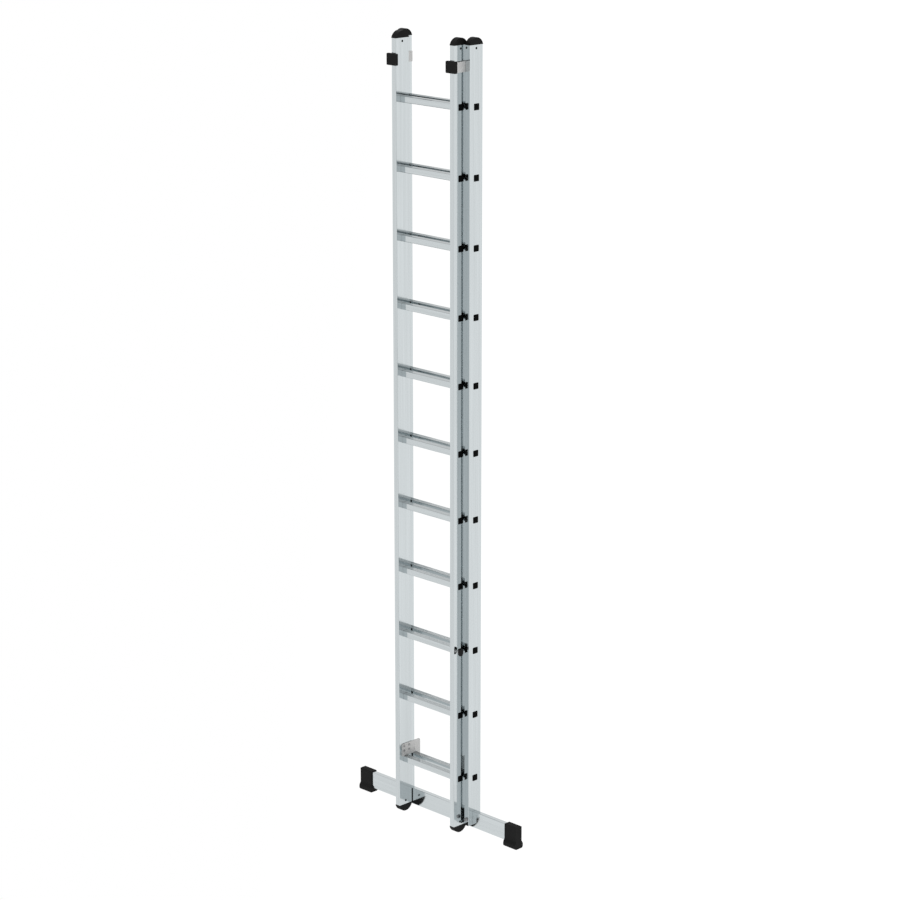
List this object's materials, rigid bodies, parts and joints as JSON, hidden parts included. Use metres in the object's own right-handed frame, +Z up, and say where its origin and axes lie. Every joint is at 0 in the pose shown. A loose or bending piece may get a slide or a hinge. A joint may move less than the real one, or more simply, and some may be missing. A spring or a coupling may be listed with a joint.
{
  "type": "extension ladder",
  "caption": "Two-section aluminium push-up extension ladder with square rungs, stabiliser bar, rung hooks, guide brackets and black plastic end caps.",
  "frame": {"origin": "on the floor, in the middle of the footprint", "axes": "+X to the user's right, +Y away from the user towards the wall, +Z up the stiles"},
  "size_m": [0.932, 0.1342, 3.311],
  "materials": {
    "aluminium_extrusion": "mill-finish extrusion, fine lines along its length",
    "galvanised_steel": "galvanised sheet",
    "black_plastic": "fine moulded texture",
    "black_rubber": "matt moulded rubber",
    "dark_fixing_steel": "dark plated fixings"
  },
  "bodies": {
    "rear_section": {"rear_stile_left": "aluminium_extrusion", "rear_top_cap_left": "black_plastic", "rear_cap_pin_left": "dark_fixing_steel", "guide_bracket_left": "galvanised_steel", "guide_pad_left": "black_plastic", "bar_boot_left": "black_rubber", "bar_bolt_left": "dark_fixing_steel", "rear_stile_right": "aluminium_extrusion", "rear_top_cap_right": "black_plastic", "rear_cap_pin_right": "dark_fixing_steel", "guide_bracket_right": "galvanised_steel", "guide_pad_right": "black_plastic", "bar_boot_right": "black_rubber", "bar_bolt_right": "dark_fixing_steel", "stabiliser_bar": "aluminium_extrusion", "rear_rung_01": "aluminium_extrusion", "rear_rung_02": "aluminium_extrusion", "rear_rung_03": "aluminium_extrusion", "rear_rung_04": "aluminium_extrusion", "rear_rung_05": "aluminium_extrusion", "rear_rung_06": "aluminium_extrusion", "rear_rung_07": "aluminium_extrusion", "rear_rung_08": "aluminium_extrusion", "rear_rung_09": "aluminium_extrusion", "rear_rung_10": "aluminium_extrusion", "rear_rung_11": "aluminium_extrusion"},
    "front_section": {"front_stile_left": "aluminium_extrusion", "front_top_cap_left": "black_plastic", "front_cap_pin_left": "dark_fixing_steel", "front_foot_left": "black_rubber", "front_foot_pin_left": "dark_fixing_steel", "rung_hook_left": "galvanised_steel", "hook_rivet_left_1": "dark_fixing_steel", "hook_rivet_left_2": "dark_fixing_steel", "hook_rivet_left_3": "dark_fixing_steel", "hook_rivet_left_4": "dark_fixing_steel", "front_stile_right": "aluminium_extrusion", "front_top_cap_right": "black_plastic", "front_cap_pin_right": "dark_fixing_steel", "front_foot_right": "black_rubber", "front_foot_pin_right": "dark_fixing_steel", "rung_hook_right": "galvanised_steel", "hook_rivet_right_1": "dark_fixing_steel", "hook_rivet_right_2": "dark_fixing_steel", "hook_rivet_right_3": "dark_fixing_steel", "hook_rivet_right_4": "dark_fixing_steel", "stop_knob_right": "black_plastic", "front_rung_01": "aluminium_extrusion", "front_rung_02": "aluminium_extrusion", "front_rung_03": "aluminium_extrusion", "front_rung_04": "aluminium_extrusion", "front_rung_05": "aluminium_extrusion", "front_rung_06": "aluminium_extrusion", "front_rung_07": "aluminium_extrusion", "front_rung_08": "aluminium_extrusion", "front_rung_09": "aluminium_extrusion", "front_rung_10": "aluminium_extrusion", "front_rung_11": "aluminium_extrusion"}
  },
  "joints": [
    {"name": "front_section_slide", "type": "slide", "parent": "rear_section", "child": "front_section", "axis": [0, 0, 1], "range_m": [0, 2.24]}
  ]
}
